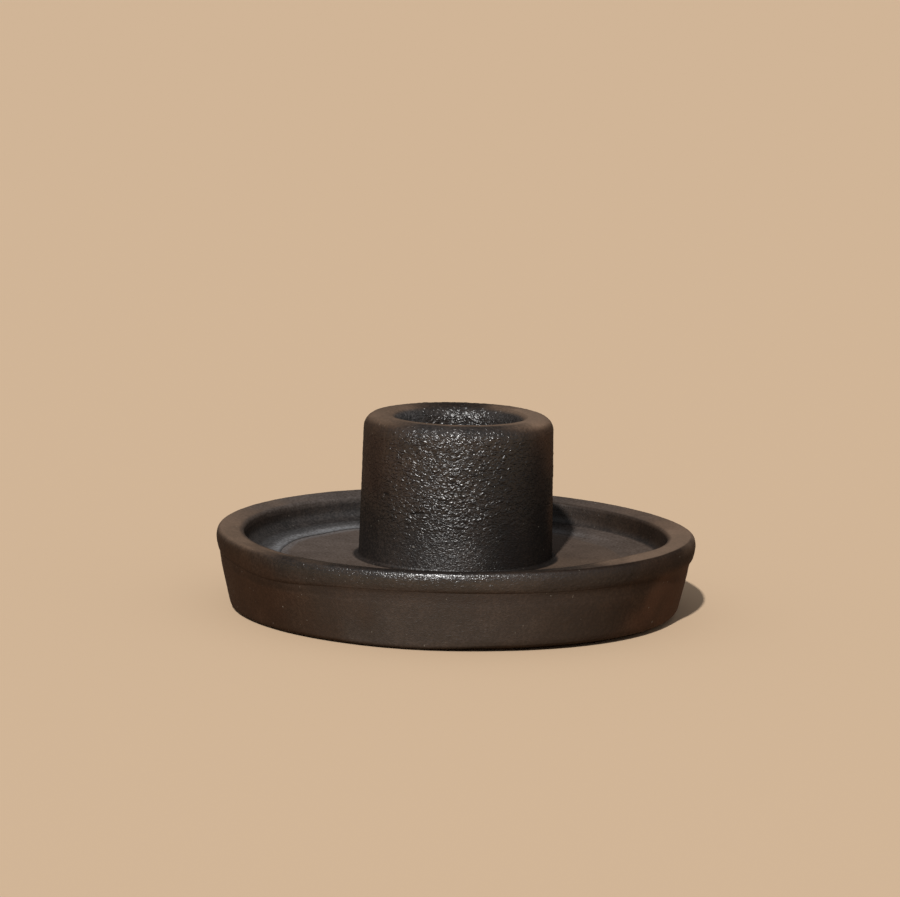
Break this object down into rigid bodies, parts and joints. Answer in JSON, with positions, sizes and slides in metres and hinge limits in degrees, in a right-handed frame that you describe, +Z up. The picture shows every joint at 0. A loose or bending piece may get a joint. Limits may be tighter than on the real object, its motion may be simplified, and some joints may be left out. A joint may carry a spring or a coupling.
{
  "type": "candle holder",
  "caption": "Low round stoneware candle holder: a thick-walled cup for a dinner candle stands in a round tray with a rolled rim and a leaning outer wall.",
  "frame": {"origin": "middle of the standing ring's bearing face, on the table", "axes": "+Z up along the cup's axis; the holder is round, and -Y is the side that the picture shows"},
  "size_m": [0.1, 0.1, 0.041],
  "materials": {
    "black_glaze": "satin",
    "bare_clay": "matte"
  },
  "bodies": {
    "root": {"foot_ring": "bare_clay", "tray_floor": "black_glaze", "dish_wall": "black_glaze", "rim_band": "black_glaze", "wall_cove": "black_glaze", "candle_cup": "black_glaze", "cup_fillet": "black_glaze"}
  },
  "joints": []
}
